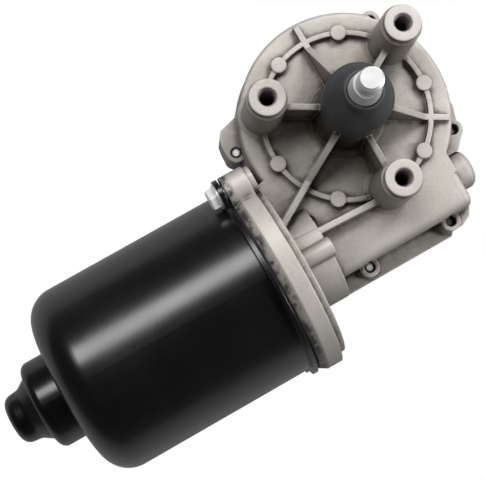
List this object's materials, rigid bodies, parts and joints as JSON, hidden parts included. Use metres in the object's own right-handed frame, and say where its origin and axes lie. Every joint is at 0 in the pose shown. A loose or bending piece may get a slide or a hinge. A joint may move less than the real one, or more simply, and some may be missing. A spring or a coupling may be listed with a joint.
{
  "type": "wiper motor",
  "caption": "Geared wiper motor: worm drive in a ribbed die-cast housing with threaded mounting bosses, tapered and threaded output shaft, deep-drawn motor can.",
  "frame": {"origin": "on the output shaft's axis, in the plane of the three mounting-boss faces", "axes": "+Z out along the output shaft; +X along the motor axis from the can towards the gearbox; +Y from the motor axis towards the output shaft"},
  "size_m": [0.1896, 0.1099, 0.1062],
  "materials": {
    "cast_aluminium": "fine die-cast skin, satin",
    "black_can": "gloss black over drawn steel",
    "zinc_steel": "bright zinc plate",
    "ground_steel": "ground and hardened",
    "bearing_steel": "polished",
    "spring_steel": "blued spring steel",
    "core_steel": "stacked laminations, varnished",
    "copper": "copper, enamelled where wound",
    "contact_brass": "rolled strip",
    "tinned_brass": "tinned blade",
    "bronze": "sintered, oil-filled",
    "ferrite": "ground ferrite",
    "carbon": "copper-graphite block",
    "brush_card": "phenolic board",
    "wheel_plastic": "moulded acetal",
    "pad_plastic": "moulded acetal",
    "cover_plastic": "fine spark-eroded grain",
    "seal_rubber": "matte",
    "boot_rubber": "matte moulded"
  },
  "bodies": {
    "gearbox_and_can": {"gear_housing": "cast_aluminium", "gear_cover": "cover_plastic", "cover_gasket": "seal_rubber", "cover_screws": "zinc_steel", "connector_terminals": "tinned_brass", "park_contacts": "contact_brass", "motor_can": "black_can", "can_gasket": "seal_rubber", "flange_screws": "zinc_steel", "field_magnets": "ferrite", "magnet_clips": "spring_steel", "brush_plate": "brush_card", "brush_holders": "contact_brass", "brushes": "carbon", "brush_springs": "spring_steel", "choke_coils": "copper", "thermal_breaker": "brush_card", "rear_bush": "bronze", "rear_bush_retainer": "spring_steel", "rear_thrust_ball": "bearing_steel", "front_bearing_outer": "bearing_steel", "front_bearing_clip": "spring_steel", "worm_end_bush": "bronze", "thrust_pad": "pad_plastic", "output_bush_upper": "bronze", "output_bush_lower": "bronze", "shaft_oring": "seal_rubber", "shaft_boot": "boot_rubber"},
    "armature": {"armature_shaft": "ground_steel", "armature_core": "core_steel", "armature_windings": "copper", "commutator": "copper", "commutator_hub": "brush_card", "front_bearing_inner": "bearing_steel"},
    "output": {"output_shaft": "zinc_steel", "gear_wheel": "wheel_plastic", "wheel_insert": "ground_steel", "thrust_washer": "ground_steel", "park_disc": "contact_brass", "shaft_washer": "ground_steel", "shaft_retaining_ring": "spring_steel"}
  },
  "joints": [
    {"name": "armature_spin", "type": "hinge", "parent": "gearbox_and_can", "child": "armature", "pos_m": [0, -0.035, -0.041], "axis": [1, 0, 0], "continuous": true},
    {"name": "output_spin", "type": "hinge", "parent": "gearbox_and_can", "child": "output", "pos_m": [0, 0, 0], "axis": [0, 0, 1], "continuous": true}
  ],
  "couplings": [
    {"joint": "output_spin", "follows": "armature_spin", "ratio": -0.016667}
  ]
}
